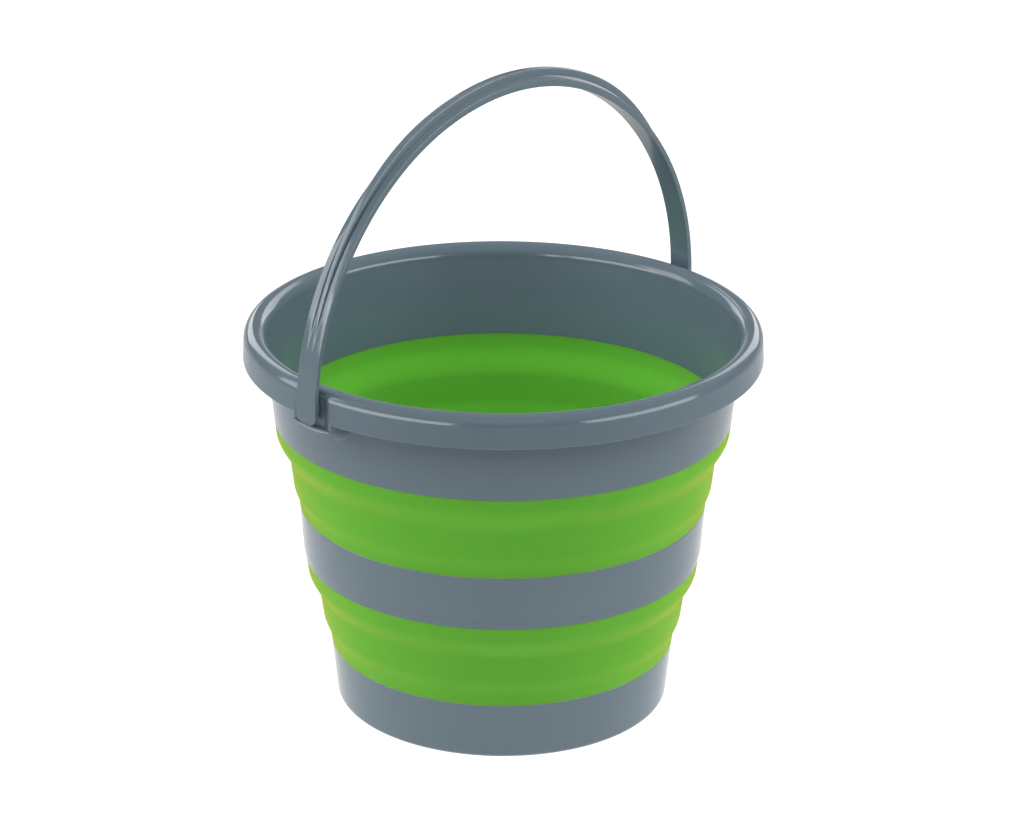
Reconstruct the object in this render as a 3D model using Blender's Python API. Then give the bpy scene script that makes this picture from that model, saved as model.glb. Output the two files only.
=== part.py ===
"""Collapsible ten-litre camp bucket: grey bands joined by two soft folds, with a swinging bail.

Metres, +Z up. The origin is the centre of the ground under the base, and the bail's pivots lie on X.
Each stage slides down around the one below it, so every band is narrower than the one above.
"""

import math

import bmesh
import bpy

# Fits and cuts that all pieces share
GAP = 0.0003
OVERRUN = 0.006
TURN_STEPS = 64
SHARP_ANGLE_DEG = 35

# Heights of the stages, from the ground up
BASE_HEIGHT = 0.0360
LOWER_FOLD_HEIGHT = 0.0570
RING_HEIGHT = 0.0340
UPPER_FOLD_HEIGHT = 0.0550
BAND_HEIGHT = 0.0476
FLARE_HEIGHT = 0.0110

# Outer radii where the stages meet
BASE_FOOT_RADIUS = 0.1018
BASE_TOP_RADIUS = 0.1055
RING_LOW_RADIUS = 0.1208
RING_TOP_RADIUS = 0.1239
BAND_LOW_RADIUS = 0.1383
BAND_TOP_RADIUS = 0.1445

# Walls, and the stepped edge that each fold is moulded onto
WALL = 0.0026
FOLD_WALL = 0.0023
LAP_HEIGHT = 0.0040
LAP_WALL = 0.0013

# Base
FOOT_EDGE_RADIUS = 0.0040
FOOT_STEPS = 3
FOOT_RING_WIDTH = 0.0060
FLOOR_LIFT = 0.0025
FLOOR_WALL = 0.0028

# Middle ring: a ledge above its lower edge
LEDGE_HEIGHT = 0.0050
LEDGE_DEPTH = 0.0006

# Folds: two steps each, as (start above the lower edge, height, rise in radius)
LOWER_FOLD_STEPS = ((0.0060, 0.0120, 0.0024), (0.0330, 0.0150, 0.0048))
UPPER_FOLD_STEPS = ((0.0040, 0.0100, 0.0020), (0.0300, 0.0180, 0.0062))
STEP_POINTS = 4

# Rim: an inner flare, a rolled crown and a skirt, each standing out from the one before
CROWN_REACH = 0.0048
CROWN_DROP = 0.0082
CROWN_POINTS = 5
FLARE_SHARES = (0.45, 0.8)
SKIRT_REACH = 0.0065
SKIRT_SPLAY = 0.0006
SKIRT_HEIGHT = 0.0198

# Bail: a half ring of strap about its pivot
PIVOT_DROP = 0.0126
BAIL_RUN_CLEARANCE = 0.0010
BAIL_LEAN_DEG = 1.4
ARM_WIDTH = 0.0154
ARM_THICKNESS = 0.0032
ARM_END_DROP = 0.0085
ARM_END_CORNER = 0.0043
GRIP_WIDTH = 0.0124
GRIP_EDGE_THICKNESS = 0.0042
GRIP_BLEND_DEG = (28, 68)
STRAP_EDGE = 0.0009

# A rib on the strap's outer face, between two grooves, that rises to the grip's ridge
RIB_WIDTH = 0.0025
RIDGE_WIDTH = 0.0054
RIDGE_RISE = 0.0063
RIDGE_CROWN = 0.0007
RIDGE_RISE_DEG = (17, 65)
RAIL_INSET = 0.0015
RAIL_SLOPE = 0.0020
GROOVE_DEPTH = 0.0012
GROOVE_START_DEG = (12, 22)
GROOVE_END_DEG = (38, 58)
ARCH_STEPS = 48
END_STEPS = 4

# Pegs of the bail, and the pockets and bosses that take them
PEG_RADIUS = 0.0035
PEG_DEPTH = 0.0092
PEG_STEPS = 24
HUB_RADIUS = 0.0056
POCKET_DEPTH = 0.0030
POCKET_HALF_WIDTH = 0.0082
POCKET_SHOULDER = 0.0075
LEDGE_PROUD = 0.0006
LEDGE_CLEARANCE = 0.0014
BOSS_HALF_WIDTH = 0.0175
BOSS_FLANK = 0.0120
BOSS_END_SHARE = 0.05
BOSS_FOOT_DROP = 0.0140
BOSS_POINTS = 5
BOSS_STEPS = 4

RING_BOTTOM = BASE_HEIGHT + LOWER_FOLD_HEIGHT
RING_TOP = RING_BOTTOM + RING_HEIGHT
BAND_BOTTOM = RING_TOP + UPPER_FOLD_HEIGHT
CROWN_RADIUS = BAND_TOP_RADIUS + CROWN_REACH
SKIRT_TOP_RADIUS = CROWN_RADIUS + SKIRT_REACH
SKIRT_LOW_RADIUS = SKIRT_TOP_RADIUS + SKIRT_SPLAY
CROWN_HEIGHT = BAND_HEIGHT + FLARE_HEIGHT
SKIRT_BOTTOM = CROWN_HEIGHT - SKIRT_HEIGHT
PIVOT_HEIGHT = CROWN_HEIGHT - PIVOT_DROP
ARCH_INNER_RADIUS = SKIRT_LOW_RADIUS + BAIL_RUN_CLEARANCE
POCKET_FLOOR_X = SKIRT_LOW_RADIUS - POCKET_DEPTH
END_REACH = ARM_END_CORNER + math.hypot(ARM_WIDTH / 2 - ARM_END_CORNER, ARM_END_DROP - ARM_END_CORNER)
LEDGE_TOP = PIVOT_HEIGHT - END_REACH - LEDGE_CLEARANCE

# Finishes, as (colour, roughness): grey polypropylene and green elastomer
GREY_PLASTIC = ((0.140, 0.180, 0.212), 0.38)
GREEN_ELASTOMER = ((0.125, 0.400, 0.036), 0.50)


def clear_scene():
    for obj in list(bpy.data.objects):
        bpy.data.objects.remove(obj, do_unlink=True)


def material(name, finish):
    colour, roughness = finish
    made = bpy.data.materials.new(name)
    made.use_nodes = True
    shader = made.node_tree.nodes["Principled BSDF"]
    shader.inputs["Base Color"].default_value = (*colour, 1)
    shader.inputs["Roughness"].default_value = roughness
    shader.inputs["Metallic"].default_value = 0
    return made


def add_object(name, bm, finish, height=0):
    """Makes an object of the mesh, shaded smooth, with its origin at that height on the axis."""
    bmesh.ops.recalc_face_normals(bm, faces=bm.faces)
    mesh = bpy.data.meshes.new(name)
    bm.to_mesh(mesh)
    bm.free()
    mesh.shade_smooth()
    mesh.set_sharp_from_angle(angle=math.radians(SHARP_ANGLE_DEG))
    mesh.materials.append(material(name, finish))
    obj = bpy.data.objects.new(name, mesh)
    obj.location.z = height
    bpy.context.collection.objects.link(obj)
    return obj


def turned(outline, closed=True):
    """Turns an outline of (radius, height) points about Z. An open one starts and ends on the axis."""
    bm = bmesh.new()
    points = [bm.verts.new((radius, 0, height)) for radius, height in outline]
    edges = [bm.edges.new(pair) for pair in zip(points, points[1:])]
    if closed:
        edges.append(bm.edges.new((points[-1], points[0])))
    bmesh.ops.spin(bm, geom=points + edges, axis=(0, 0, 1), cent=(0, 0, 0), dvec=(0, 0, 0),
                   angle=2 * math.pi, steps=TURN_STEPS, use_merge=True)
    bmesh.ops.remove_doubles(bm, verts=bm.verts, dist=GAP / 100)
    return bm


def between(low, high, share):
    return low + (high - low) * share


def eased(share):
    share = min(max(share, 0), 1)
    return share * share * (3 - 2 * share)


def base_radius(height):
    return between(BASE_FOOT_RADIUS, BASE_TOP_RADIUS, height / BASE_HEIGHT)


def base_cup():
    """The bottom band, its floor and the foot ring that it stands on."""
    centre = BASE_FOOT_RADIUS - FOOT_EDGE_RADIUS
    foot = []
    for k in range(FOOT_STEPS + 1):
        angle = math.pi / 2 * k / FOOT_STEPS
        foot.append((centre + FOOT_EDGE_RADIUS * math.cos(angle),
                     FOOT_EDGE_RADIUS * (1 - math.sin(angle))))
    ring_inner = centre - FOOT_RING_WIDTH
    floor_top = FLOOR_LIFT + FLOOR_WALL
    lap = BASE_HEIGHT - LAP_HEIGHT
    outline = [(0, FLOOR_LIFT), (ring_inner - FLOOR_LIFT, FLOOR_LIFT), (ring_inner, 0)]
    outline += reversed(foot)
    outline += [
        (BASE_TOP_RADIUS, BASE_HEIGHT),
        (BASE_TOP_RADIUS - LAP_WALL, BASE_HEIGHT),
        (base_radius(lap) - LAP_WALL, lap),
        (base_radius(lap) - WALL, lap),
        (base_radius(floor_top) - WALL, floor_top + FLOOR_WALL),
        (base_radius(floor_top) - WALL - FLOOR_WALL, floor_top),
        (0, floor_top),
    ]
    return add_object("base_cup", turned(outline, closed=False), GREY_PLASTIC)


def ring_radius(height):
    return between(RING_LOW_RADIUS, RING_TOP_RADIUS, height / RING_HEIGHT)


def middle_ring():
    """The grey ring between the folds, stepped inside at both edges for the laps."""
    high_lap = RING_HEIGHT - LAP_HEIGHT
    outline = [
        (ring_radius(RING_HEIGHT), RING_HEIGHT),
        (ring_radius(LEDGE_HEIGHT) + LEDGE_DEPTH, LEDGE_HEIGHT),
        (ring_radius(LEDGE_HEIGHT), LEDGE_HEIGHT),
        (RING_LOW_RADIUS, 0),
        (RING_LOW_RADIUS - LAP_WALL, 0),
        (ring_radius(LAP_HEIGHT) - LAP_WALL, LAP_HEIGHT),
        (ring_radius(LAP_HEIGHT) - WALL, LAP_HEIGHT),
        (ring_radius(high_lap) - WALL, high_lap),
        (ring_radius(high_lap) - LAP_WALL, high_lap),
        (ring_radius(RING_HEIGHT) - LAP_WALL, RING_HEIGHT),
    ]
    return add_object("middle_ring", turned(outline), GREY_PLASTIC, RING_BOTTOM)


def fold_levels(height, steps):
    """Heights where the fold's outline has points: its ends and the curve of each step."""
    levels = [GAP]
    for start, rise_height, _ in steps:
        levels += [start + rise_height * k / STEP_POINTS for k in range(STEP_POINTS + 1)]
    return levels + [height - GAP]


def fold(name, bottom, height, low_radius, high_radius, low_draft, high_draft, steps):
    """A soft wall of two eased steps, with a thin collar at each end that lies in the band's stepped edge.

    low_draft and high_draft are how much the bands it joins widen per metre of height.
    """
    straight = (high_radius - low_radius - sum(rise for _, _, rise in steps)) / height

    def outer(level):
        risen = sum(rise * eased((level - start) / tall) for start, tall, rise in steps)
        return low_radius + straight * level + risen

    levels = fold_levels(height, steps)
    skin = [(outer(level), level) for level in levels]
    low_in, high_in = WALL - LAP_WALL - GAP, LAP_WALL + GAP
    reach = LAP_HEIGHT - GAP
    low_end, high_end = low_radius - low_draft * reach, high_radius + high_draft * reach
    inside = [(outer(level) - FOLD_WALL, level) for level in levels[1:-1]]
    outline = [(high_end - high_in, height + reach), (high_radius - high_in, height - GAP)]
    outline += reversed(skin)
    outline += [
        (low_radius - high_in, GAP),
        (low_end - high_in, -reach),
        (low_end - high_in - low_in, -reach),
        (low_radius - WALL, GAP),
    ]
    outline += inside
    outline += [(high_radius - WALL, height - GAP), (high_end - WALL, height + reach)]
    return add_object(name, turned(outline), GREEN_ELASTOMER, bottom)


def band_radius(height):
    return between(BAND_LOW_RADIUS, BAND_TOP_RADIUS, height / BAND_HEIGHT)


def crown(inset):
    """The crown's outer quarter, a quarter ellipse from its top to the skirt, drawn in by the inset."""
    wide, tall = SKIRT_TOP_RADIUS - CROWN_RADIUS - inset, CROWN_DROP - inset
    points = []
    for k in range(CROWN_POINTS + 1):
        angle = math.pi / 2 * k / CROWN_POINTS
        points.append((CROWN_RADIUS + wide * math.sin(angle),
                       CROWN_HEIGHT - CROWN_DROP + tall * math.cos(angle)))
    return points


def rim_outline():
    """The upper band, the flare above it, the crown and the skirt, as one wall bent over at the top."""
    shoulder = (CROWN_RADIUS - WALL, CROWN_HEIGHT - WALL / 2)
    throat = (BAND_TOP_RADIUS - WALL, BAND_HEIGHT)
    flare_mid = tuple(between(a, b, share) for a, b, share in zip(throat, shoulder, FLARE_SHARES))
    outline = crown(0)
    outline += [(SKIRT_LOW_RADIUS, SKIRT_BOTTOM), (SKIRT_LOW_RADIUS - WALL, SKIRT_BOTTOM)]
    outline += reversed(crown(WALL))
    outline += [
        (BAND_TOP_RADIUS, BAND_HEIGHT),
        (BAND_LOW_RADIUS, 0),
        (BAND_LOW_RADIUS - LAP_WALL, 0),
        (band_radius(LAP_HEIGHT) - LAP_WALL, LAP_HEIGHT),
        (band_radius(LAP_HEIGHT) - WALL, LAP_HEIGHT),
        throat,
        flare_mid,
        shoulder,
    ]
    return outline


def boss_outline(share):
    """The boss's section: a gusset from the band up to the ledge, and above it a filling behind the skirt.

    The share, from 0 to 1, is how much of its reach out of the band's wall is left there.
    """
    foot, face = LEDGE_TOP - BOSS_FOOT_DROP, SKIRT_LOW_RADIUS + LEDGE_PROUD
    flush = SKIRT_LOW_RADIUS - GAP
    full = []
    for k in range(1, BOSS_POINTS + 1):
        height = between(foot, LEDGE_TOP - GAP, k / BOSS_POINTS)
        full.append((between(band_radius(height), face, eased(k / BOSS_POINTS)), height))
    full += [(face, LEDGE_TOP), (flush, LEDGE_TOP), (flush, SKIRT_BOTTOM + GAP)]
    full += reversed(crown(WALL / 2))
    outline = [(band_radius(foot) - WALL * 3 / 4, foot)]
    for radius, height in full:
        root = min(height, BAND_HEIGHT)
        outline.append((between(band_radius(root) - WALL / 2, radius, share),
                        between(root, height, share)))
    outline.append((band_radius(BAND_HEIGHT) - WALL * 3 / 4, BAND_HEIGHT))
    return outline


def boss_stations():
    """Angles about Z from the pivot axis, and the boss's share there: whole, then flanks that die away."""
    half = math.asin(BOSS_HALF_WIDTH / SKIRT_LOW_RADIUS)
    flank = math.asin((BOSS_HALF_WIDTH + BOSS_FLANK) / SKIRT_LOW_RADIUS) - half
    rising = []
    for k in range(BOSS_STEPS):
        share = between(BOSS_END_SHARE, 1, (k / BOSS_STEPS) ** (3 / 2))
        rising.append((-half - flank * (1 - k / BOSS_STEPS), share))
    level = [(between(-half, half, k / BOSS_STEPS), 1) for k in range(BOSS_STEPS + 1)]
    return rising + level + [(-angle, share) for angle, share in reversed(rising)]


def boss(name, side):
    """The boss: its sections joined from flank to flank."""
    bm = bmesh.new()
    rings = []
    for angle, share in boss_stations():
        ring = []
        for radius, height in boss_outline(share):
            ring.append(bm.verts.new((side * radius * math.cos(angle), radius * math.sin(angle), height)))
        rings.append(ring)
    join_rings(bm, rings)
    return helper(name, bm)


def join_rings(bm, rings):
    """Quads from each ring to the next, and a face over each end."""
    for low, high in zip(rings, rings[1:]):
        for k, point in enumerate(low):
            after = (k + 1) % len(low)
            bm.faces.new((point, low[after], high[after], high[k]))
    bm.faces.new(rings[0])
    bm.faces.new(rings[-1])


def helper(name, bm):
    """A solid that is only joined to or cut from another piece, and isn't one itself."""
    bmesh.ops.recalc_face_normals(bm, faces=bm.faces)
    mesh = bpy.data.meshes.new(name)
    bm.to_mesh(mesh)
    bm.free()
    obj = bpy.data.objects.new(name, mesh)
    obj.hide_render = True
    obj.display_type = "WIRE"
    bpy.context.collection.objects.link(obj)
    return obj


def pocket_cutter(name, side):
    """A trapezoidal prism: flat at the pocket's back, with shoulders that open outwards."""
    slope = POCKET_SHOULDER / POCKET_DEPTH
    depth = POCKET_DEPTH + OVERRUN
    wide = POCKET_HALF_WIDTH + slope * depth
    plan = [(0, -POCKET_HALF_WIDTH), (depth, -wide), (depth, wide), (0, POCKET_HALF_WIDTH)]
    bm = bmesh.new()
    points = [bm.verts.new((side * (POCKET_FLOOR_X + x), y, LEDGE_TOP)) for x, y in plan]
    face = bm.faces.new(points)
    lifted = bmesh.ops.extrude_face_region(bm, geom=[face])["geom"]
    top = [item for item in lifted if isinstance(item, bmesh.types.BMVert)]
    bmesh.ops.translate(bm, verts=top, vec=(0, 0, CROWN_HEIGHT + OVERRUN - LEDGE_TOP))
    return helper(name, bm)


def rod(bm, start, end, radius, height):
    """A closed cylinder along X from start to end at that height."""
    rings = []
    for x in (start, end):
        ring = []
        for k in range(PEG_STEPS):
            angle = 2 * math.pi * k / PEG_STEPS
            ring.append(bm.verts.new((x, radius * math.cos(angle), height + radius * math.sin(angle))))
        rings.append(ring)
    join_rings(bm, rings)


def peg_hole_cutter(name, side):
    bm = bmesh.new()
    start = POCKET_FLOOR_X - PEG_DEPTH - GAP
    rod(bm, side * start, side * (POCKET_FLOOR_X + OVERRUN), PEG_RADIUS + GAP, PIVOT_HEIGHT)
    return helper(name, bm)


def boolean(obj, other, operation):
    modifier = obj.modifiers.new(other.name, "BOOLEAN")
    modifier.operation = operation
    modifier.solver = "EXACT"
    modifier.object = other
    other.parent = obj


def rim_frame():
    """The rim, skirt and upper band, with a boss, a pocket and a peg hole at each end of the pivot axis."""
    rim = add_object("rim_frame", turned(rim_outline()), GREY_PLASTIC, BAND_BOTTOM)
    for side, word in ((-1, "near"), (1, "far")):
        boolean(rim, boss(f"boss_{word}", side), "UNION")
        boolean(rim, pocket_cutter(f"pocket_{word}", side), "DIFFERENCE")
        boolean(rim, peg_hole_cutter(f"peg_hole_{word}", side), "DIFFERENCE")
    return rim


def ramp(turn, span):
    """Rises smoothly from 0 to 1 between two angles, in degrees up from the nearer pivot."""
    return eased((turn - span[0]) / (span[1] - span[0]))


def strap_section(turn, width):
    """The strap's outline as (across, outwards) points: a flat inner face, rails, grooves and a rib."""
    thick = between(ARM_THICKNESS, GRIP_EDGE_THICKNESS, ramp(turn, GRIP_BLEND_DEG))
    grown = ramp(turn, RIDGE_RISE_DEG)
    narrowed = width / between(ARM_WIDTH, GRIP_WIDTH, ramp(turn, GRIP_BLEND_DEG))
    half, edge = width / 2, STRAP_EDGE * narrowed
    rib = between(RIB_WIDTH, RIDGE_WIDTH, grown) / 2 * narrowed
    rail = rib + between(RAIL_INSET, RAIL_INSET / 2, grown) * narrowed
    top, rail_top = thick + RIDGE_RISE * grown, thick + RAIL_SLOPE * grown
    floor = rail_top - GROOVE_DEPTH * ramp(turn, GROOVE_START_DEG) * (1 - ramp(turn, GROOVE_END_DEG))
    right = [
        (half - edge, 0),
        (half, STRAP_EDGE),
        (half, thick - STRAP_EDGE),
        (half - edge, thick),
        (rail, rail_top),
        (between(rib, rail, 1 / 2), floor),
        (rib, top - RIDGE_CROWN * grown),
        (rib / 2, top),
    ]
    return right + [(-across, out) for across, out in reversed(right)]


def strap_stations():
    """Places along the strap: (degrees up from the nearer pivot, angle round the arch, drop, width)."""
    ends = []
    for k in range(END_STEPS + 1):
        angle = math.pi / 2 * (1 - k / END_STEPS)
        ends.append((ARM_END_DROP - ARM_END_CORNER * (1 - math.sin(angle)),
                     ARM_WIDTH - 2 * ARM_END_CORNER * (1 - math.cos(angle))))
    stations = [(0, 0, drop, width) for drop, width in ends]
    for k in range(ARCH_STEPS + 1):
        turn = 180 * k / ARCH_STEPS
        up = min(turn, 180 - turn)
        width = between(ARM_WIDTH, GRIP_WIDTH, ramp(up, GRIP_BLEND_DEG))
        stations.append((up, math.radians(turn), 0, width))
    stations += [(0, math.pi, drop, width) for drop, width in reversed(ends)]
    return stations


def bail_handle(rim):
    """The bail: the strap swept round the arch, its round ends, and a hub and peg inside each end."""
    bm = bmesh.new()
    rings = []
    for turn, angle, drop, width in strap_stations():
        ring = []
        for across, out in strap_section(turn, width):
            radius = ARCH_INNER_RADIUS + out
            ring.append(bm.verts.new((radius * math.cos(angle), across, radius * math.sin(angle) - drop)))
        rings.append(ring)
    join_rings(bm, rings)
    bail = add_object("bail_handle", bm, GREY_PLASTIC, PIVOT_HEIGHT)
    for side, word in ((-1, "near"), (1, "far")):
        root = ARCH_INNER_RADIUS + ARM_THICKNESS / 2
        for radius, tip, piece in (
            (HUB_RADIUS, POCKET_FLOOR_X + GAP, "hub"),
            (PEG_RADIUS, POCKET_FLOOR_X - PEG_DEPTH, "peg"),
        ):
            part = bmesh.new()
            rod(part, side * tip, side * root, radius, 0)
            boolean(bail, helper(f"{piece}_{word}", part), "UNION")
    bail.rotation_euler.x = math.radians(BAIL_LEAN_DEG)
    bail.parent = rim
    return bail


def build():
    clear_scene()
    base_draft = (BASE_TOP_RADIUS - BASE_FOOT_RADIUS) / BASE_HEIGHT
    ring_draft = (RING_TOP_RADIUS - RING_LOW_RADIUS) / RING_HEIGHT
    band_draft = (BAND_TOP_RADIUS - BAND_LOW_RADIUS) / BAND_HEIGHT
    base_cup()
    fold("lower_membrane", BASE_HEIGHT, LOWER_FOLD_HEIGHT, BASE_TOP_RADIUS, RING_LOW_RADIUS,
         base_draft, ring_draft, LOWER_FOLD_STEPS)
    middle_ring()
    fold("upper_membrane", RING_TOP, UPPER_FOLD_HEIGHT, RING_TOP_RADIUS, BAND_LOW_RADIUS,
         ring_draft, band_draft, UPPER_FOLD_STEPS)
    bail_handle(rim_frame())


build()
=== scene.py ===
"""Dresses the collapsible camp bucket: rounded grey mouldings, soft green folds and their finishes.

Outlines are in millimetres, as (radius, height, corner) or (across, outwards, corner), and run
anticlockwise with the material on their left. The corner says how far from it the rounding starts.
"""

import math

import bmesh
import bpy
import numpy as np
from mathutils import Matrix, Vector


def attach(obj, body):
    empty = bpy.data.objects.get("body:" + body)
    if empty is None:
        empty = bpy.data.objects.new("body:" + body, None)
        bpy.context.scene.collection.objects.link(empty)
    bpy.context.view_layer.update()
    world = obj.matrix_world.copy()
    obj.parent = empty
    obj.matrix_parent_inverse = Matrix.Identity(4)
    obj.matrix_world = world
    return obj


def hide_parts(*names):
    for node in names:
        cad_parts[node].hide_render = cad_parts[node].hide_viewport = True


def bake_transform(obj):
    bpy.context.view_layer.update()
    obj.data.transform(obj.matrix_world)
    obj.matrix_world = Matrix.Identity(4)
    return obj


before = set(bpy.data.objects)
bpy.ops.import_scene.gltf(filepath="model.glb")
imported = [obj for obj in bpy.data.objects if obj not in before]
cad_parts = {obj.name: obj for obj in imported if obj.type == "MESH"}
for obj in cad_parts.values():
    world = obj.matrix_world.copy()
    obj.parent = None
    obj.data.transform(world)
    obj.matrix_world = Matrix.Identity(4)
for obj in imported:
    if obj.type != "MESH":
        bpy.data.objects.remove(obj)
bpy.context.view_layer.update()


# Base cup
# The grey band at the bottom with its floor and foot ring, one injection moulding of polypropylene.
# Its wall has a little draft so that it leaves the tool, and the folds are moulded onto its stepped edge.
MM = 0.001
TURNS = 240
CORNER_STEPS = 6
MOST_ROUNDED = 0.45
SHARP_ANGLE = math.radians(50)
SAME_POINT = MM / 1000

BASE_OUTLINE = (
    (0.0, 2.5, 0.0),
    (88.6, 2.5, 1.2),
    (91.4, 0.0, 0.5),
    (101.8, 0.0, 2.6),
    (105.5, 35.95, 0.3),
    (104.2, 35.95, 0.0),
    (103.8, 32.0, 0.0),
    (102.5, 32.0, 0.2),
    (99.7, 5.3, 3.4),
    (0.0, 5.3, 0.0),
)


def softened(corners, reach):
    """Rounds the corners of a closed outline.

    From a corner, a and b are the directions to the corners before and after it. A parabola leaves
    one side and meets the other: corner + reach * ((1 - s)^2 a + s^2 b), with s from 0 to 1.
    It takes less than half of either side, so that two roundings never meet.
    A third column tells how much each point stands on a convex edge: 4 s (1 - s) sin(turn).
    """
    before = np.roll(corners, 1, -2) - corners
    after = np.roll(corners, -1, -2) - corners
    long_before = np.linalg.norm(before, axis=-1, keepdims=True)
    long_after = np.linalg.norm(after, axis=-1, keepdims=True)
    a, b = before / long_before, after / long_after
    reach = np.minimum(reach[..., None], MOST_ROUNDED * np.minimum(long_before, long_after))
    s = np.linspace(0, 1, CORNER_STEPS)[:, None]
    bend = (1 - s) ** 2 * a[..., None, :] + s ** 2 * b[..., None, :]
    points = corners[..., None, :] + reach[..., None] * bend
    turn = a[..., 1] * b[..., 0] - a[..., 0] * b[..., 1]
    edge = np.clip(turn, 0, 1)[..., None, None] * 4 * s * (1 - s)
    joined = np.concatenate([points, edge], -1)
    return joined.reshape(*corners.shape[:-2], -1, 3)


def filled_in(outline, longest):
    """Puts points along every side of a closed outline that is longer than that: start + share * side."""
    side = np.roll(outline, -1, 0) - outline
    count = np.ceil(np.linalg.norm(side[:, :2], axis=1) / longest).astype(int).clip(1)
    index = np.repeat(np.arange(len(outline)), count)
    first = np.repeat(np.cumsum(count) - count, count)
    share = (np.arange(count.sum()) - first) / count[index]
    return outline[index] + side[index] * share[:, None]


def rounded_outline(table, longest):
    """An outline from a table of its corners: each one rounded, and then no side longer than that."""
    table = np.array(table, float)
    return filled_in(softened(table[:, :2], table[:, 2]), longest)


def turned(outline, angles):
    """Turns an outline about Z: (r, z) at angle t is at (r cos t, r sin t, z)."""
    r, z = outline[:, 0], outline[:, 1]
    t = angles[:, None]
    return np.stack([r * np.cos(t), r * np.sin(t), z + 0 * t], -1)


def grid_faces(rows, columns, ring=True):
    """Quads between neighbours on a grid whose columns close on themselves, as its rows do on a ring."""
    i, j = np.meshgrid(np.arange(rows if ring else rows - 1), np.arange(columns), indexing="ij")
    low, high = i * columns, (i + 1) % rows * columns
    after = (j + 1) % columns
    return np.stack([low + j, high + j, high + after, low + after], -1).reshape(-1, 4)


def add_piece(name, points, faces, edge):
    """Makes a closed mesh object of points in millimetres, with the edge measure as its own attribute."""
    mesh = bpy.data.meshes.new(name)
    mesh.from_pydata(points.reshape(-1, 3) * MM, [], faces)
    # The convex-edge measure goes to the skin, which lightens those edges, partly as rubbing in use and
    # partly as a painted highlight.
    edge_measure = mesh.attributes.new("convex_edge", "FLOAT", "POINT")
    edge_measure.data.foreach_set("value", edge.reshape(-1).astype(np.float32))
    bm = bmesh.new()
    bm.from_mesh(mesh)
    bmesh.ops.remove_doubles(bm, verts=bm.verts, dist=SAME_POINT)
    bmesh.ops.recalc_face_normals(bm, faces=bm.faces)
    bm.to_mesh(mesh)
    bm.free()
    mesh.shade_smooth()
    mesh.set_sharp_from_angle(angle=SHARP_ANGLE)
    obj = bpy.data.objects.new(name, mesh)
    bpy.context.scene.collection.objects.link(obj)
    return obj


def turned_piece(name, outline):
    """A piece that is its outline carried round Z in equal turns."""
    points = turned(outline, np.linspace(0, 2 * np.pi, TURNS, endpoint=False))
    edge = np.broadcast_to(outline[:, 2], points.shape[:2])
    return add_piece(name, points, grid_faces(*points.shape[:2]), edge)


def put_node(tree, kind, inputs=None, **settings):
    """Adds a node with those settings, and fills its inputs with values or with other nodes' outputs."""
    made = tree.nodes.new(kind)
    for key, value in settings.items():
        setattr(made, key, value)
    for key, value in (inputs or {}).items():
        if isinstance(value, bpy.types.NodeSocket):
            tree.links.new(value, made.inputs[key])
        else:
            made.inputs[key].default_value = value
    return made


def maths(tree, operation, *values):
    """The result of one operation on values or other nodes' outputs."""
    return put_node(tree, "ShaderNodeMath", dict(enumerate(values)), operation=operation).outputs[0]


def noise(tree, place, scale, detail=2.0, roughness=0.5):
    """A noise from 0 to 1, with its scale in bumps per metre."""
    values = {"Vector": place, "Scale": scale, "Detail": detail, "Roughness": roughness}
    return put_node(tree, "ShaderNodeTexNoise", values).outputs["Fac"]


def swing(tree, value, strength):
    """Makes a noise swing about nothing: (value - 1/2) * strength."""
    return maths(tree, "MULTIPLY", maths(tree, "SUBTRACT", value, 0.5), strength)


def fitted(tree, value, low, high, to_low=0.0, to_high=1.0):
    """Maps a value's range smoothly onto another, and stops at its ends."""
    values = {"Value": value, "From Min": low, "From Max": high, "To Min": to_low, "To Max": to_high}
    made = put_node(tree, "ShaderNodeMapRange", values, interpolation_type="SMOOTHSTEP")
    return made.outputs["Result"]


def tinted(tree, share, low, high):
    """Mixes two colours by a share. Socket 0 is the share, and 6, 7 and output 2 are the colours'."""
    return put_node(tree, "ShaderNodeMix", {0: share, 6: low, 7: high}, data_type="RGBA").outputs[2]


def new_group(name, inputs, outputs):
    """Starts a node group with those sockets, and returns it with its input and output nodes."""
    tree = bpy.data.node_groups.new(name, "ShaderNodeTree")
    for title, kind, start in inputs:
        socket = tree.interface.new_socket(title, in_out="INPUT", socket_type=kind)
        socket.default_value = start
    for title, kind in outputs:
        tree.interface.new_socket(title, in_out="OUTPUT", socket_type=kind)
    return tree, tree.nodes.new("NodeGroupInput"), tree.nodes.new("NodeGroupOutput")


TONE_NOISE = {"scale": 16.0, "detail": 3.0}
GLOSS_NOISE = {"scale": 120.0, "detail": 4.0}
EDGE_NOISE = {"scale": 260.0, "detail": 5.0, "roughness": 0.7}
PATCH_NOISE = {"scale": 30.0}
HAIR_NOISE = {"scale": 900.0, "detail": 1.0}
HAIR_LIE, HAIR_STRETCH = (0.4, 0.9, 0.3), (1.0, 0.05, 1.0)
EDGE_RANGE, PATCH_RANGE, HAIR_RANGE = (0.30, 0.58), (0.52, 0.72), (0.70, 0.76)
# How much lighter the convex edges get comes partly from rubbing in use and is partly a painted highlight.
DRIFT_SHARE, RUB_AND_HIGHLIGHT_SHARE, WEAR_AND_HIGHLIGHT_SHARE = 2.0, 0.9, 0.6
CLOUD_GLOSS, RUB_GLOSS, SCUFF_GLOSS = 0.14, 0.08, 0.15
SCUFF_DEPTH = 0.6


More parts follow.
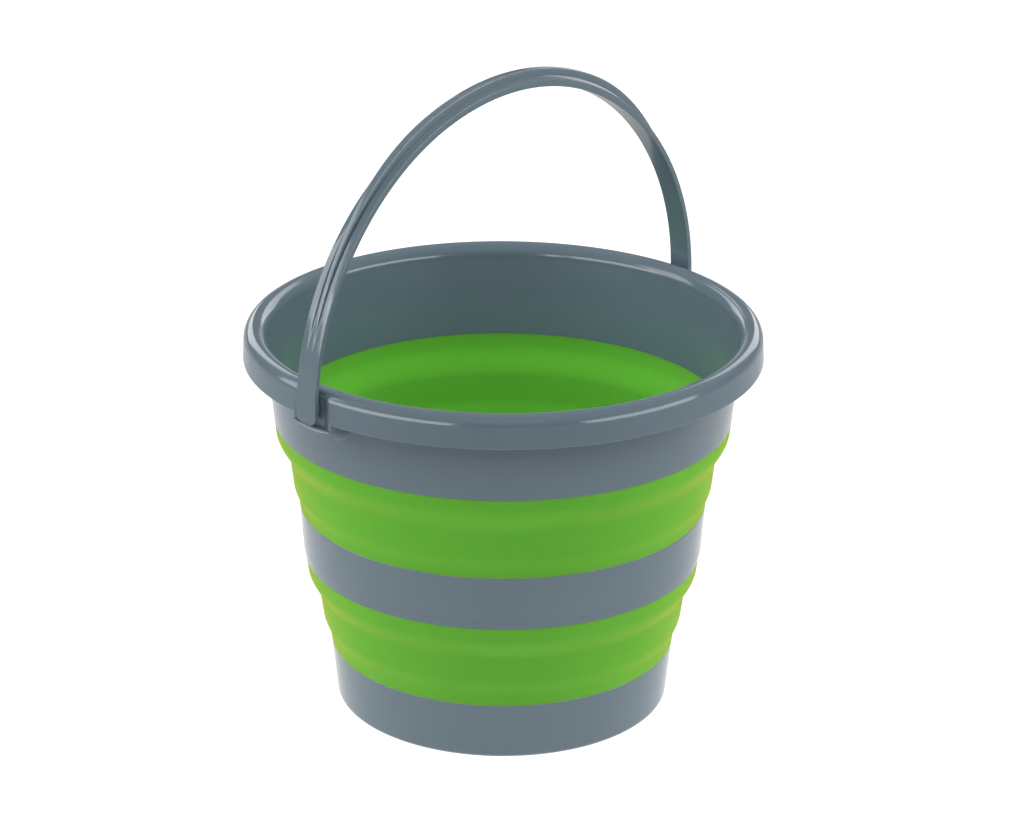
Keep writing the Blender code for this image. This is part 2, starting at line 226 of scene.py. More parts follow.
def moulded_skin_group():
    """A moulded skin: slow drifts of tone, a fine tool grain, hair scuffs, and lighter convex edges.

    tone = 1 + drifts + grain, wear_and_highlight = (lighter edges + scuffs) * share, and height = grain -
    scuffs.
    The lighter edges come partly from rubbing in use and are partly a painted highlight along them.
    Scuffs are hairs stretched along one direction, and they show only in patches.
    """
    tree, given, out = new_group(
        "moulded_skin",
        (
            ("Colour", "NodeSocketColor", (0.5, 0.5, 0.5, 1)),
            ("Rubbed and highlight colour", "NodeSocketColor", (0.6, 0.6, 0.6, 1)),
            ("Roughness", "NodeSocketFloat", 0.4),
            ("Drift", "NodeSocketFloat", 0.05),
            ("Grain per metre", "NodeSocketFloat", 2200.0),
            ("Grain height", "NodeSocketFloat", 0.5),
            ("Scuffs", "NodeSocketFloat", 0.3),
            ("Seed", "NodeSocketFloat", 0.0),
        ),
        (("Colour", "NodeSocketColor"), ("Roughness", "NodeSocketFloat"), ("Height", "NodeSocketFloat")),
    )
    value = given.outputs
    place = put_node(tree, "ShaderNodeTexCoord").outputs["Object"]
    offset = put_node(tree, "ShaderNodeCombineXYZ", {"X": value["Seed"], "Z": value["Seed"]}).outputs[0]
    moved = put_node(tree, "ShaderNodeVectorMath", {0: place, 1: offset}, operation="ADD").outputs[0]

    grain = noise(tree, moved, value["Grain per metre"])
    lie = {"Vector": moved, "Rotation": HAIR_LIE, "Scale": HAIR_STRETCH}
    hair = noise(tree, put_node(tree, "ShaderNodeMapping", lie).outputs[0], **HAIR_NOISE)
    patch = fitted(tree, noise(tree, moved, **PATCH_NOISE), *PATCH_RANGE)
    patch = maths(tree, "MULTIPLY", patch, value["Scuffs"])
    scuff = maths(tree, "MULTIPLY", fitted(tree, hair, *HAIR_RANGE), patch)

    # Convex edges, broken up by noise, are lightened: partly rubbing in use, partly a painted highlight.
    edge_measure = put_node(tree, "ShaderNodeAttribute", attribute_name="convex_edge").outputs["Fac"]
    broken = fitted(tree, noise(tree, moved, **EDGE_NOISE), *EDGE_RANGE)
    rubbed_and_highlit = maths(tree, "MULTIPLY", edge_measure, broken)

    drift = swing(tree, noise(tree, moved, **TONE_NOISE), value["Drift"])
    tone = maths(tree, "ADD", 1.0, maths(tree, "MULTIPLY", drift, DRIFT_SHARE))
    tone = maths(tree, "ADD", tone, swing(tree, grain, value["Drift"]))
    toned = {0: value["Colour"], "Scale": tone}
    shaded = put_node(tree, "ShaderNodeVectorMath", toned, operation="SCALE").outputs[0]
    # Mixes towards the lighter colour on scuffs and convex edges; on the edges this is partly a painted
    # highlight.
    wear_and_highlight = maths(tree, "ADD", maths(tree, "MULTIPLY", rubbed_and_highlit, RUB_AND_HIGHLIGHT_SHARE), scuff)
    wear_and_highlight = maths(tree, "MULTIPLY", wear_and_highlight, WEAR_AND_HIGHLIGHT_SHARE)
    colour = tinted(tree, wear_and_highlight, shaded, value["Rubbed and highlight colour"])

    clouds = swing(tree, noise(tree, moved, **GLOSS_NOISE), CLOUD_GLOSS)
    rough = maths(tree, "ADD", value["Roughness"], clouds)
    rough = maths(tree, "SUBTRACT", rough, maths(tree, "MULTIPLY", rubbed_and_highlit, RUB_GLOSS))
    rough = maths(tree, "ADD", rough, maths(tree, "MULTIPLY", scuff, SCUFF_GLOSS))
    height = maths(tree, "MULTIPLY", grain, value["Grain height"])
    height = maths(tree, "SUBTRACT", height, maths(tree, "MULTIPLY", scuff, SCUFF_DEPTH))
    tree.links.new(colour, out.inputs["Colour"])
    tree.links.new(rough, out.inputs["Roughness"])
    tree.links.new(height, out.inputs["Height"])
    return tree


MOULDED_SKIN = moulded_skin_group()
GRAIN_RELIEF = 0.00003


def skin_material(name, skin, shine, relief):
    """A Principled surface with its colour, roughness and bump from the moulded skin."""
    made = bpy.data.materials.new(name)
    made.use_nodes = True
    tree = made.node_tree
    shader = tree.nodes["Principled BSDF"].inputs
    look = put_node(tree, "ShaderNodeGroup", skin, node_tree=MOULDED_SKIN).outputs
    grain = {"Height": look["Height"], "Strength": relief, "Distance": GRAIN_RELIEF}
    bump = put_node(tree, "ShaderNodeBump", grain)
    tree.links.new(look["Colour"], shader["Base Color"])
    tree.links.new(look["Roughness"], shader["Roughness"])
    tree.links.new(bump.outputs["Normal"], shader["Normal"])
    for socket, value in shine.items():
        shader[socket].default_value = value
    return made


SLATE_GREY = (0.104, 0.148, 0.180, 1)
# The lighter grey of scuffs and convex edges; on the edges it is partly a painted highlight.
RUBBED_AND_HIGHLIGHT_GREY = (0.230, 0.270, 0.300, 1)


def grey_plastic(name, seed):
    """Satin polypropylene, as it leaves a finely blasted tool."""
    skin = {"Colour": SLATE_GREY, "Rubbed and highlight colour": RUBBED_AND_HIGHLIGHT_GREY, "Roughness": 0.14, "Drift": 0.05,
            "Grain per metre": 2200, "Grain height": 0.12, "Scuffs": 0.3, "Seed": seed}
    return skin_material(name, skin, {"IOR": 1.49}, relief=0.6)


base = turned_piece("bucket_base", rounded_outline(BASE_OUTLINE, longest=2.4))
base.data.materials.append(grey_plastic("base_polypropylene", seed=0.0))
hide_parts("base_cup")
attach(base, "base")


# Middle ring
# The grey ring between the folds, which keeps them round. It is moulded like the base, with stepped edges.
# A narrow ledge runs round just above its lower edge, where the soft fold's tool closes on it.
RING_OUTLINE = (
    (120.8, 93.05, 0.3),
    (121.26, 97.9, 0.1),
    (121.86, 98.15, 0.25),
    (123.9, 126.95, 0.3),
    (122.6, 126.95, 0.0),
    (122.2, 123.0, 0.0),
    (120.9, 123.0, 0.2),
    (118.6, 97.0, 0.2),
    (119.9, 97.0, 0.0),
    (119.5, 93.05, 0.0),
)

ring = turned_piece("bucket_ring", rounded_outline(RING_OUTLINE, longest=1.2))
ring.data.materials.append(grey_plastic("ring_polypropylene", seed=3.1))
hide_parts("middle_ring")
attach(ring, "ring")


# Soft folds
# Two walls of green thermoplastic elastomer, moulded onto the stepped edges of the grey pieces.
# Each has two soft steps, where it rolls under when the bucket is pressed flat.
FOLD_WALL = 2.3
FOLD_LEVELS = 72
CLEARANCE = 0.05
LAP = 3.7
LAP_INSET = 1.6
LAP_WALL = 1.0
LAP_LEVELS = 4

# A fold goes from its bottom's height and low radius to its top's height and high radius, and each lap
# leans by its draft. A step is its height above the bottom, how tall it is and how far out it goes.
LOWER_FOLD = {"bottom": 36.0, "top": 93.0, "low": 105.5, "high": 120.8,
              "low_draft": 0.103, "high_draft": 0.091,
              "steps": ((6.0, 12.0, 2.4), (33.0, 15.0, 4.8))}
UPPER_FOLD = {"bottom": 127.0, "top": 182.0, "low": 123.9, "high": 138.3,
              "low_draft": 0.091, "high_draft": 0.130,
              "steps": ((4.0, 10.0, 2.0), (30.0, 18.0, 6.2))}


def eased(share):
    """A smooth rise from 0 to 1, level at both ends: share^2 * (3 - 2 share)."""
    share = np.clip(share, 0, 1)
    return share * share * (3 - 2 * share)


def fold_outline(fold):
    """The outside is a straight slope plus two eased steps; the inside is the same, one wall further in.

    Above and below, a thin collar lies in the stepped edge of the grey piece.
    """
    bottom, top, low, high = (fold[key] for key in ("bottom", "top", "low", "high"))
    height = top - bottom
    level = np.linspace(CLEARANCE, height - CLEARANCE, FOLD_LEVELS)
    rises = sum(rise for _, _, rise in fold["steps"])
    outside = low + (high - low - rises) * level / height
    for start, tall, rise in fold["steps"]:
        outside = outside + rise * eased((level - start) / tall)
    low_end = low - fold["low_draft"] * LAP - LAP_INSET
    high_end = high + fold["high_draft"] * LAP - LAP_INSET
    skin = np.stack([outside, level + bottom], 1)
    lining = np.stack([outside - FOLD_WALL, level + bottom], 1)[LAP_LEVELS:-LAP_LEVELS]
    collar_top = [[high - LAP_INSET, top - CLEARANCE], [high_end, top + LAP],
                  [high_end - LAP_WALL, top + LAP], [high - LAP_INSET - LAP_WALL, top]]
    collar_low = [[low - LAP_INSET - LAP_WALL, bottom], [low_end - LAP_WALL, bottom - LAP],
                  [low_end, bottom - LAP], [low - LAP_INSET, bottom + CLEARANCE]]
    joined = np.concatenate([skin, collar_top, lining[::-1], collar_low])
    return np.column_stack([joined, np.zeros(len(joined))])


SPRING_GREEN = (0.122, 0.390, 0.045, 1)
STRETCHED_GREEN = (0.170, 0.440, 0.075, 1)
GLOSS_TINT = (1.0, 0.86, 0.10, 1)
BLOOM_TINT = (1.0, 0.35, 0.0, 1)
ELASTOMER_DEPTH = (0.0050, 0.0065, 0.0040)


def green_elastomer(name, seed):
    """Satin elastomer: a softer grain than the plastic's, and a thin bloom of fine dust that it holds."""
    skin = {"Colour": SPRING_GREEN, "Rubbed and highlight colour": STRETCHED_GREEN, "Roughness": 0.66, "Drift": 0.06,
            "Grain per metre": 1500, "Grain height": 0.9, "Scuffs": 0.15, "Seed": seed}
    shine = {"IOR": 1.42, "Specular Tint": GLOSS_TINT, "Specular IOR Level": 0.06,
             "Sheen Weight": 0.40, "Sheen Roughness": 0.35, "Sheen Tint": BLOOM_TINT,
             "Subsurface Weight": 1.0, "Subsurface Radius": ELASTOMER_DEPTH, "Subsurface Scale": 1.0}
    return skin_material(name, skin, shine, relief=0.7)


for name, node, slot, fold, bodies, seed in (
    ("lower_fold", "lower_membrane", "lower_elastomer", LOWER_FOLD, ("base", "ring"), 5.3),
    ("upper_fold", "upper_membrane", "upper_elastomer", UPPER_FOLD, ("ring", "rim"), 7.9),
):
    soft_wall = turned_piece(name, fold_outline(fold))
    soft_wall.data.materials.append(green_elastomer(f"{name}_elastomer", seed))
    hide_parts(node)
    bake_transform(soft_wall)


# Rim
# The upper band, a small flare, a rolled crown and a skirt, in one moulding of the same polypropylene.
# At each end of the pivot axis the crown and skirt are cut back to a flat pocket over a solid boss.
CROWN_TOP = (149.3, 239.8)
CROWN_EDGE = (155.8, 232.4)
LIP_EDGE = (141.9, 232.1)
CROWN_STEPS = 22
BAND_POINTS = 4
RIM_OUTLINE = (
    (138.3, 182.05, 0.3),
    (140.2, 201.0, 3.0),
    (142.6, 220.0, 3.0),
    (144.9, 229.6, 2.0),
    (146.2, 235.6, 1.6),
    (150.0, 237.6, 1.8),
    (153.2, 232.4, 3.0),
    (153.8, 220.8, 0.4),
    (156.4, 220.8, 0.6),
    (*CROWN_EDGE, 0.0),
)
LINING_OUTLINE = (
    (*LIP_EDGE, 0.0),
    (140.2, 220.0, 3.0),
    (137.6, 201.0, 2.0),
    (135.5, 182.25, 0.3),
)
POCKET_FLOOR = 153.4
POCKET_MOUTH = 156.5
POCKET_HALF = 8.2
POCKET_SHOULDER = 7.5
POCKET_BLEND = 0.9
SHOULDER_END = 1.35
BEYOND_RIM = 30
CUT_BEYOND = 140
SKIRT_BACK = (147.5, 155.0)
SKIRT_BACK_TOP = 238.5
SKIRT_BACK_INSET = 0.6
FINE_SPAN = 7.0
FINE_STEP = 0.2
COARSE_STEP = 1.5


def quarter_roll(edge, angle):
    """A quarter ellipse between an edge and the crown's top: edge + (top - edge) * (1 - sin, cos)."""
    r = CROWN_TOP[0] + (edge[0] - CROWN_TOP[0]) * np.sin(angle)
    z = edge[1] + (CROWN_TOP[1] - edge[1]) * np.cos(angle)
    return np.stack([r, z, 0 * angle], 1)


def rim_outline():
    """Band and skirt, then the crown as two quarter ellipses, then the lining down the band's inside.

    The lining goes down over the top lap of the upper fold, so that lap stands hidden in this wall.
    """
    angle = np.linspace(np.pi / 2, 0, CROWN_STEPS + 1)
    outer, inner = quarter_roll(CROWN_EDGE, angle[1:]), quarter_roll(LIP_EDGE, angle[1:-1])[::-1]
    return rounded_outline(np.concatenate([RIM_OUTLINE, outer, inner, LINING_OUTLINE]), longest=2.0)


def uneven_angles():
    """Angles round the rim, in fine steps by the two pockets and in coarse ones between them."""
    fine = np.arange(-FINE_SPAN, FINE_SPAN, FINE_STEP)
    coarse = np.arange(FINE_SPAN, 180 - FINE_SPAN, COARSE_STEP)
    half = np.concatenate([fine, coarse])
    return np.radians(np.concatenate([half, half + 180]))


def pocket_limit(y):
    """How far out a pocket lets the rim reach: its flat floor, then shoulders that slope out to the skirt.

    limit = floor + (mouth - floor) * (|y| - half) / shoulder, and past the shoulders there is no limit.
    """
    share = (np.abs(y) - POCKET_HALF) / POCKET_SHOULDER
    sloped = POCKET_FLOOR + (POCKET_MOUTH - POCKET_FLOOR) * np.clip(share, 0, None)
    return np.where(share > SHOULDER_END, sloped + BEYOND_RIM, sloped)


def lesser(a, b, blend):
    """The lesser of two values, with a smooth turn from one to the other as wide as the blend.

    share = 1/2 + (b - a) / (2 blend), kept from 0 to 1, and b + (a - b) share - blend share (1 - share).
    """
    share = np.clip(0.5 + 0.5 * (b - a) / blend, 0, 1)
    return b + (a - b) * share - blend * share * (1 - share)


def cut_pockets(points, outline):
    """Draws each point that stands outside a pocket in to its limit, and the skirt's back a little more."""
    x, y, z = np.moveaxis(points, -1, 0)
    r, height = outline[:, 0], outline[:, 1]
    back = (r > SKIRT_BACK[0]) & (r < SKIRT_BACK[1]) & (height < SKIRT_BACK_TOP)
    limit = pocket_limit(y) - SKIRT_BACK_INSET * back
    cut = np.sign(x) * lesser(np.abs(x), limit, POCKET_BLEND)
    near = np.abs(y) < POCKET_HALF + SHOULDER_END * POCKET_SHOULDER
    moved = points.copy()
    moved[..., 0] = np.where(near & (np.abs(x) > CUT_BEYOND), cut, x)
    return moved


# The boss under each pocket. Its top is (most outwards, height), and its back is (radius, height)
BOSS_HALF = 15.8
BOSS_FLANK = 3.0
BOSS_SPREAD = 16.2
BOSS_LEAST_DROP = 1.5
BOSS_CREASE = 0.06
BOSS_END_SHARE = 0.05
BOSS_FOOT = 202.9
BOSS_FOOT_SINK = 0.4
BOSS_ROOT = 1.3
BOSS_FACE = 156.35
BOSS_FACE_TOP = 223.5
BOSS_TOP = (152.0, 232.5)
BOSS_TOP_SETBACK = 1.0
BOSS_BACK = ((144.2, 232.5), (142.9, 226.0))
BOSS_BACK_DEPTH = 1.7
LEDGE_Z = 216.9
LEDGE_RADIUS = 157.0
LEDGE_ROUND = 0.12
LEDGE_STEPS = 4
GUSSET_STEPS = 22
FLANK_STEPS = 22
FLANK_CURVE = 1.5
MIDDLE_STEPS = 90


def band_radius(height):
    """The radius of the band's outside at a height, straight from point to point of its outline."""
    radii, heights, _ = np.transpose(RIM_OUTLINE[:BAND_POINTS])
    return np.interp(height, heights, radii)


def boss_sections(side):
    """The boss as a loft across the pivot axis: at each y, a gusset swells from the band to the ledge.

    Its face is band + (ledge - band) * eased(rise), and above the ledge it stands as the pocket's floor.
    It reaches less far down towards its sides, by sqrt(1 - (y / spread)^2), so it is round from below.
    On the flanks, each point is drawn back to the wall: root + (point - root) * (1 - u)^1.5.
    """
    flank = BOSS_HALF + BOSS_FLANK * np.linspace(0, 1, FLANK_STEPS) ** FLANK_CURVE
    middle = np.linspace(-BOSS_HALF, BOSS_HALF, MIDDLE_STEPS)
    y = np.concatenate([-flank[:0:-1], middle, flank[1:]])[:, None]
    u = np.clip(-lesser((BOSS_HALF - np.abs(y)) / BOSS_FLANK, 0, BOSS_CREASE), 0, 1)
    share = BOSS_END_SHARE + (1 - BOSS_END_SHARE) * (1 - u) ** FLANK_CURVE

    def out_to(radius):
        """The distance along the pivot axis at which y stands on that radius: sqrt(radius^2 - y^2)."""
        return np.sqrt(radius ** 2 - y ** 2)

    rise = np.linspace(0, 1, GUSSET_STEPS)
    under = LEDGE_Z - LEDGE_ROUND
    swell = np.sqrt(np.clip(1 - (y / BOSS_SPREAD) ** 2, 0, 1))
    drop = np.maximum((under - BOSS_FOOT) * swell, BOSS_LEAST_DROP)
    z = under - drop * (1 - rise)
    band, face = out_to(band_radius(z)) - BOSS_FOOT_SINK * (1 - rise), out_to(LEDGE_RADIUS)
    gusset = band + (face - band) * eased(rise)
    bend = np.linspace(0, np.pi / 2, LEDGE_STEPS + 1)[1:]
    corner_x = face - LEDGE_ROUND * (1 - np.cos(bend))
    corner_z = LEDGE_Z - LEDGE_ROUND * (1 - np.sin(bend))
    wall = np.minimum(pocket_limit(y) - CLEARANCE, out_to(BOSS_FACE))
    x = np.concatenate([gusset, corner_x, wall, wall, np.minimum(wall - BOSS_TOP_SETBACK, BOSS_TOP[0])], 1)
    z = np.concatenate([z, np.concatenate([corner_z, [LEDGE_Z, BOSS_FACE_TOP, BOSS_TOP[1]]]) + 0 * y], 1)
    root_z = np.minimum(z, RIM_OUTLINE[BAND_POINTS - 1][1])
    root_x = out_to(band_radius(root_z) - BOSS_ROOT)
    foot = z[:, :1]
    back_x = [out_to(radius) for radius, _ in BOSS_BACK] + [out_to(band_radius(foot) - BOSS_BACK_DEPTH)]
    back_z = [height + 0 * y for _, height in BOSS_BACK] + [foot]
    x = np.concatenate([root_x + (x - root_x) * share, *back_x], 1)
    z = np.concatenate([root_z + (z - root_z) * share, *back_z], 1)
    return np.stack([side * x, np.broadcast_to(y, x.shape), z], -1)


def capped_faces(rows, columns):
    """A loft's quads, and a many-sided face at each end."""
    sides = grid_faces(rows, columns, ring=False).tolist()
    return sides + [list(range(columns)), list(range((rows - 1) * columns, rows * columns))]


def rim_piece():
    """The turned shell with its pockets cut, and a boss at each end of the pivot axis."""
    outline = rim_outline()
    shell = cut_pockets(turned(outline, uneven_angles()), outline)
    edge = np.broadcast_to(outline[:, 2], shell.shape[:2]).reshape(-1)
    points, faces = shell.reshape(-1, 3), grid_faces(*shell.shape[:2]).tolist()
    for side in (-1, 1):
        loft = boss_sections(side)
        start = len(points)
        faces += [[start + k for k in face] for face in capped_faces(*loft.shape[:2])]
        points = np.concatenate([points, loft.reshape(-1, 3)])
    edge = np.concatenate([edge, np.zeros(len(points) - len(edge))])
    return add_piece("bucket_rim", points, faces, edge)


rim = rim_piece()
rim.data.materials.append(grey_plastic("rim_polypropylene", seed=11.7))
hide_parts("rim_frame")
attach(rim, "rim")


# Bail
# One moulded strap in a half ring. Up each arm a rib runs between two grooves and becomes the grip's ridge.
# Behind each rounded end a hub and a peg point inwards, and the peg snaps into its hole in the boss.
PIVOT = Vector((0.0, 0.0, 228.0))
LEAN = math.radians(1.4)
ARCH_RADIUS = 157.4
ARCH_STATIONS = 180
ARM_WIDTH, GRIP_WIDTH = 15.4, 12.4
ARM_THICK, GRIP_EDGE = 3.2, 4.2
WIDTH_SPAN = (28.0, 68.0)
RIB_HALF, RIDGE_HALF = 1.25, 2.7
RIDGE_RISE, RIDGE_SPAN = 6.3, (17.0, 65.0)
RIDGE_SETBACK = 0.15
GROOVE_WIDTH = (1.7, 0.6)
GROOVE_DEPTH, GROOVE_SPAN, GROOVE_FADE = 1.2, (12.0, 22.0), (38.0, 58.0)
GROOVE_FLOOR = (0.2, 0.75)
FLANGE_SLOPE = 2.0
BACK_ROUND, EDGE_ROUND, GROOVE_ROUND, FLOOR_ROUND = 0.6, 0.45, 0.3, 0.25
RIB_ROUND, RIDGE_ROUND_MORE = 0.3, 0.9
END_DROP, END_CORNER, END_STATIONS = 8.5, 4.3, 10
HUB_RADIUS, HUB_ROOT, HUB_TIP, HUB_BEVEL = 5.6, 1.5, 153.7, 0.4
PEG_RADIUS, PEG_TIP, PEG_BEVEL, PEG_TURNS = 3.5, 144.2, 0.6, 48


def ramp(degrees, span):
    """An eased rise from 0 to 1 over a span of degrees up from the pivot."""
    return eased((degrees - span[0]) / (span[1] - span[0]))


def strap_stations():
    """Stations along the strap: angle round the arch, drop below the pivot, and share of the full width.

    Each end is a rounded rectangle, so its width shrinks round a quarter circle of the corner's radius.
    """
    turn = np.linspace(np.pi / 2, 0, END_STATIONS)
    drop = END_DROP - END_CORNER * (1 - np.sin(turn))
    narrow = 1 - 2 * END_CORNER * (1 - np.cos(turn)) / ARM_WIDTH
    arch = np.radians(np.linspace(0, 180, ARCH_STATIONS))
    angle = np.concatenate([0 * drop, arch, 0 * drop + np.pi])
    drops = np.concatenate([drop, 0 * arch, drop[::-1]])
    widths = np.concatenate([narrow, 0 * arch + 1, narrow[::-1]])
    return angle, drops, widths


def strap_sections(angle, narrow):
    """The strap's outline at each station, as corners (across, outwards) with their rounding.

    Widths and thicknesses go from the arm's to the grip's by eased ramps over the angle up from the pivot.
    """
    up = np.degrees(np.minimum(angle, np.pi - angle))
    slim, grown = ramp(up, WIDTH_SPAN), ramp(up, RIDGE_SPAN)
    half = (ARM_WIDTH + (GRIP_WIDTH - ARM_WIDTH) * slim) / 2
    thick = ARM_THICK + (GRIP_EDGE - ARM_THICK) * slim
    rib = RIB_HALF + (RIDGE_HALF - RIB_HALF) * grown
    groove = GROOVE_WIDTH[0] + (GROOVE_WIDTH[1] - GROOVE_WIDTH[0]) * grown
    depth = GROOVE_DEPTH * ramp(up, GROOVE_SPAN) * (1 - ramp(up, GROOVE_FADE))
    rail_top = thick + FLANGE_SLOPE * grown
    top = thick + RIDGE_RISE * grown
    floor = rail_top - depth
    zero = 0 * half
    right = (
        (half, zero, zero + BACK_ROUND),
        (half, thick, zero + EDGE_ROUND),
        (rib + groove, rail_top, zero + GROOVE_ROUND),
        (rib + groove * GROOVE_FLOOR[1], floor, zero + FLOOR_ROUND),
        (rib + groove * GROOVE_FLOOR[0], floor, zero + FLOOR_ROUND),
        (rib, top - RIDGE_SETBACK * grown, RIB_ROUND + RIDGE_ROUND_MORE * grown),
    )
    corners = np.stack([np.stack(corner, -1) for corner in right], 1)
    mirrored = corners[:, ::-1] * (-1, 1, 1)
    joined = np.concatenate([corners, mirrored], 1)
    outline = softened(joined[..., :2], joined[..., 2])
    outline[..., 0] *= narrow[:, None]
    return outline


def swept_strap():
    """Carries the sections round the arch: (radius + out) * (cos, sin), and straight down at the ends."""
    angle, drop, narrow = strap_stations()
    section = strap_sections(angle, narrow)
    radius = ARCH_RADIUS + section[..., 1]
    x = radius * np.cos(angle)[:, None]
    z = radius * np.sin(angle)[:, None] - drop[:, None]
    return np.stack([x, section[..., 0], z], -1), section[..., 2]


def peg_rings(side):
    """The hub and the peg as one turned shape along X: (r, t) is at (x, r cos t, r sin t).

    The hub starts inside the strap, and both the hub and the peg have a small bevel at the tip.
    """
    root = ARCH_RADIUS + HUB_ROOT
    table = ((root, 0.0), (root, HUB_RADIUS), (HUB_TIP + HUB_BEVEL, HUB_RADIUS),
             (HUB_TIP, HUB_RADIUS - HUB_BEVEL), (HUB_TIP, PEG_RADIUS), (PEG_TIP + PEG_BEVEL, PEG_RADIUS),
             (PEG_TIP, PEG_RADIUS - PEG_BEVEL), (PEG_TIP, 0.0))
    x, r = np.array(table).T
    t = np.linspace(0, 2 * np.pi, PEG_TURNS, endpoint=False)[None, :]
    return np.stack([side * x[:, None] + 0 * t, r[:, None] * np.cos(t), r[:, None] * np.sin(t)], -1)


def bail_piece():
    """The strap with a hub and peg behind each end, leaned about the pivot axis."""
    strap, edge = swept_strap()
    points, faces = strap.reshape(-1, 3), capped_faces(*strap.shape[:2])
    for side in (-1, 1):
        rings = peg_rings(side)
        start = len(points)
        faces += (grid_faces(*rings.shape[:2], ring=False) + start).tolist()
        points = np.concatenate([points, rings.reshape(-1, 3)])
    edge = np.concatenate([edge.reshape(-1), np.zeros(len(points) - edge.size)])
    leaned = points @ np.array(Matrix.Rotation(LEAN, 3, "X")).T + np.array(PIVOT)
    return add_piece("bail", leaned, faces, edge)


bail = bail_piece()
bail.data.materials.append(grey_plastic("bail_polypropylene", seed=19.3))
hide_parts("bail_handle")
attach(bail, "bail")


# Studio
# A floor and a surround that look plain white to the camera and light the bucket with a softer glow.
# The camera stands where the photograph was taken from: 2.2 m away and 0.7 m above the rim.
WHITE = (1, 1, 1, 1)
FLOOR_HALF = 14.0
FLOOR_PAINT = (0.22, 0.22, 0.22, 1)
FLOOR_ROUGHNESS = 0.9
FLOOR_FALL = (0.15, 0.85)
FLOOR_GLOW = (0.88, 0.38)
CEILING_RISE = (0.22, 0.75)
CEILING_GLOW = (0.15, 0.55)
CAMERA_PLACE = Vector((-1.4029, -1.3835, 0.9641))
CAMERA_SIDE = 224.6
CAMERA_BEARING = math.radians(-45.555)
CAMERA_TILT = math.radians(90 - 21.614)
CAMERA_ROLL = math.radians(0.351)
FOCAL_PIXELS, FRAME_WIDTH, SENSOR = 3500.0, 1024.0, 36.0
AIM = Vector((0.0, 0.0, 0.16))
FILL_POWER, FILL_SIZE, FILL_PLACE = 0.11, 0.04, (0, 0, 0.225)

floor_mesh = bpy.data.meshes.new("studio_floor")
corners = [(-FLOOR_HALF, -FLOOR_HALF, 0), (FLOOR_HALF, -FLOOR_HALF, 0),
           (FLOOR_HALF, FLOOR_HALF, 0), (-FLOOR_HALF, FLOOR_HALF, 0)]
floor_mesh.from_pydata(corners, [], [(0, 1, 2, 3)])
floor = bpy.data.objects.new("studio_floor", floor_mesh)
bpy.context.scene.collection.objects.link(floor)
floor_paint = bpy.data.materials.new("white_floor")
floor_paint.use_nodes = True
floor_tree = floor_paint.node_tree
floor_shader = floor_tree.nodes["Principled BSDF"]
floor_shader.inputs["Base Color"].default_value = FLOOR_PAINT
floor_shader.inputs["Roughness"].default_value = FLOOR_ROUGHNESS
floor_shader.inputs["Emission Color"].default_value = WHITE
spot = put_node(floor_tree, "ShaderNodeTexCoord").outputs["Object"]
away = put_node(floor_tree, "ShaderNodeVectorMath", {0: spot}, operation="LENGTH").outputs["Value"]
seen = put_node(floor_tree, "ShaderNodeLightPath").outputs["Is Camera Ray"]
glow = maths(floor_tree, "MAXIMUM", fitted(floor_tree, away, *FLOOR_FALL, *FLOOR_GLOW), seen)
floor_tree.links.new(glow, floor_shader.inputs["Emission Strength"])
floor_mesh.materials.append(floor_paint)


def soft_box(name, at, size, power, mirrored=True, lighting=True):
    """An area light that faces the bucket, at (bearing, distance, height), with its width and tallness.

    The bearing is in degrees clockwise from the camera, seen from above. A light that isn't mirrored
    leaves no highlight, and one that isn't lighting makes highlights alone.
    """
    light = bpy.data.lights.new(name, "AREA")
    light.shape = "RECTANGLE"
    light.size, light.size_y = size
    light.energy = power
    bearing, distance, height = at
    angle = math.radians(CAMERA_SIDE - bearing)
    place = Vector((distance * math.cos(angle), distance * math.sin(angle), height))
    obj = bpy.data.objects.new(name, light)
    facing = (AIM - place).to_track_quat("-Z", "Y")
    obj.matrix_world = Matrix.Translation(place) @ facing.to_matrix().to_4x4()
    obj.visible_camera, obj.visible_glossy, obj.visible_diffuse = False, mirrored, lighting
    bpy.context.scene.collection.objects.link(obj)


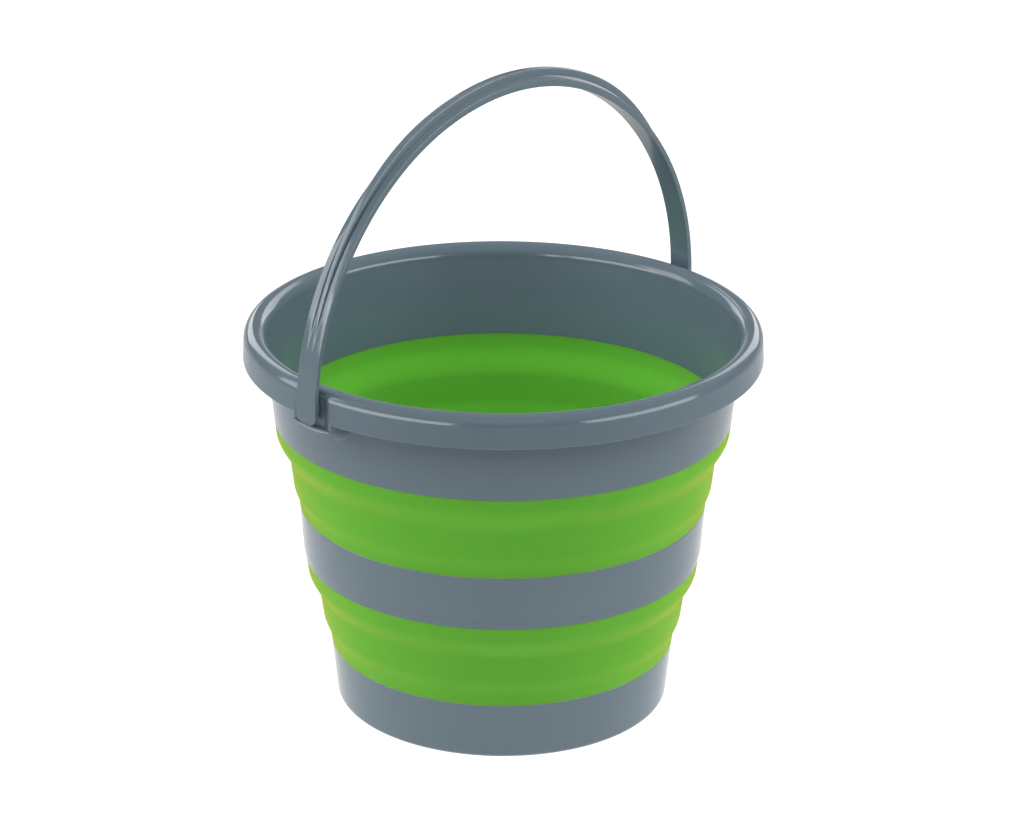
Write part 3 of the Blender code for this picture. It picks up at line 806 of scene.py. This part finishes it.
soft_box("left_box", at=(95, 1.5, 0.80), size=(1.2, 1.2), power=16.0, mirrored=False)
soft_box("right_box", at=(-95, 1.5, 0.80), size=(1.2, 1.2), power=16.0, mirrored=False)
soft_box("front_box", at=(0, 1.5, 1.75), size=(1.0, 1.0), power=19.0, mirrored=False)
soft_box("left_strip", at=(51, 1.5, 0.50), size=(1.8, 0.55), power=16.5, lighting=False)
soft_box("arm_strip", at=(94, 1.5, 0.85), size=(0.8, 0.9), power=8.5, lighting=False)
soft_box("right_strip", at=(-60, 1.5, 0.50), size=(1.5, 0.55), power=13.0, lighting=False)
soft_box("left_rear_strip", at=(154, 2.6, 1.25), size=(1.1, 1.6), power=14.0, lighting=False)
soft_box("right_rear_strip", at=(-154, 2.6, 1.25), size=(1.1, 1.6), power=14.0, lighting=False)
soft_box("low_back_wall", at=(180, 2.6, 0.50), size=(1.2, 0.6), power=1.4)
soft_box("high_back_box", at=(180, 2.6, 1.80), size=(5.0, 0.75), power=18.0, mirrored=False)

fill = bpy.data.lights.new("inside_fill", "POINT")
fill.energy, fill.shadow_soft_size = FILL_POWER, FILL_SIZE
fill_lamp = bpy.data.objects.new("inside_fill", fill)
fill_lamp.location = FILL_PLACE
fill_lamp.visible_camera = fill_lamp.visible_glossy = False
bpy.context.scene.collection.objects.link(fill_lamp)

world = bpy.data.worlds.new("pale_surround")
world.use_nodes = True
sky = world.node_tree
direction = put_node(sky, "ShaderNodeTexCoord").outputs["Generated"]
upward = put_node(sky, "ShaderNodeSeparateXYZ", {"Vector": direction}).outputs["Z"]
lit = fitted(sky, upward, *CEILING_RISE, *CEILING_GLOW)
seen = put_node(sky, "ShaderNodeLightPath").outputs["Is Camera Ray"]
sky.links.new(maths(sky, "MAXIMUM", lit, seen), sky.nodes["Background"].inputs["Strength"])
sky.nodes["Background"].inputs["Color"].default_value = WHITE
bpy.context.scene.world = world
bpy.context.scene.view_settings.view_transform = "Standard"

camera_data = bpy.data.cameras.new("camera")
camera_data.sensor_width = SENSOR
camera_data.lens = FOCAL_PIXELS / FRAME_WIDTH * SENSOR
camera = bpy.data.objects.new("camera", camera_data)
camera.matrix_world = (
    Matrix.Translation(CAMERA_PLACE)
    @ Matrix.Rotation(CAMERA_BEARING, 4, "Z")
    @ Matrix.Rotation(CAMERA_TILT, 4, "X")
    @ Matrix.Rotation(CAMERA_ROLL, 4, "Z")
)
bpy.context.scene.collection.objects.link(camera)
bpy.context.scene.camera = camera
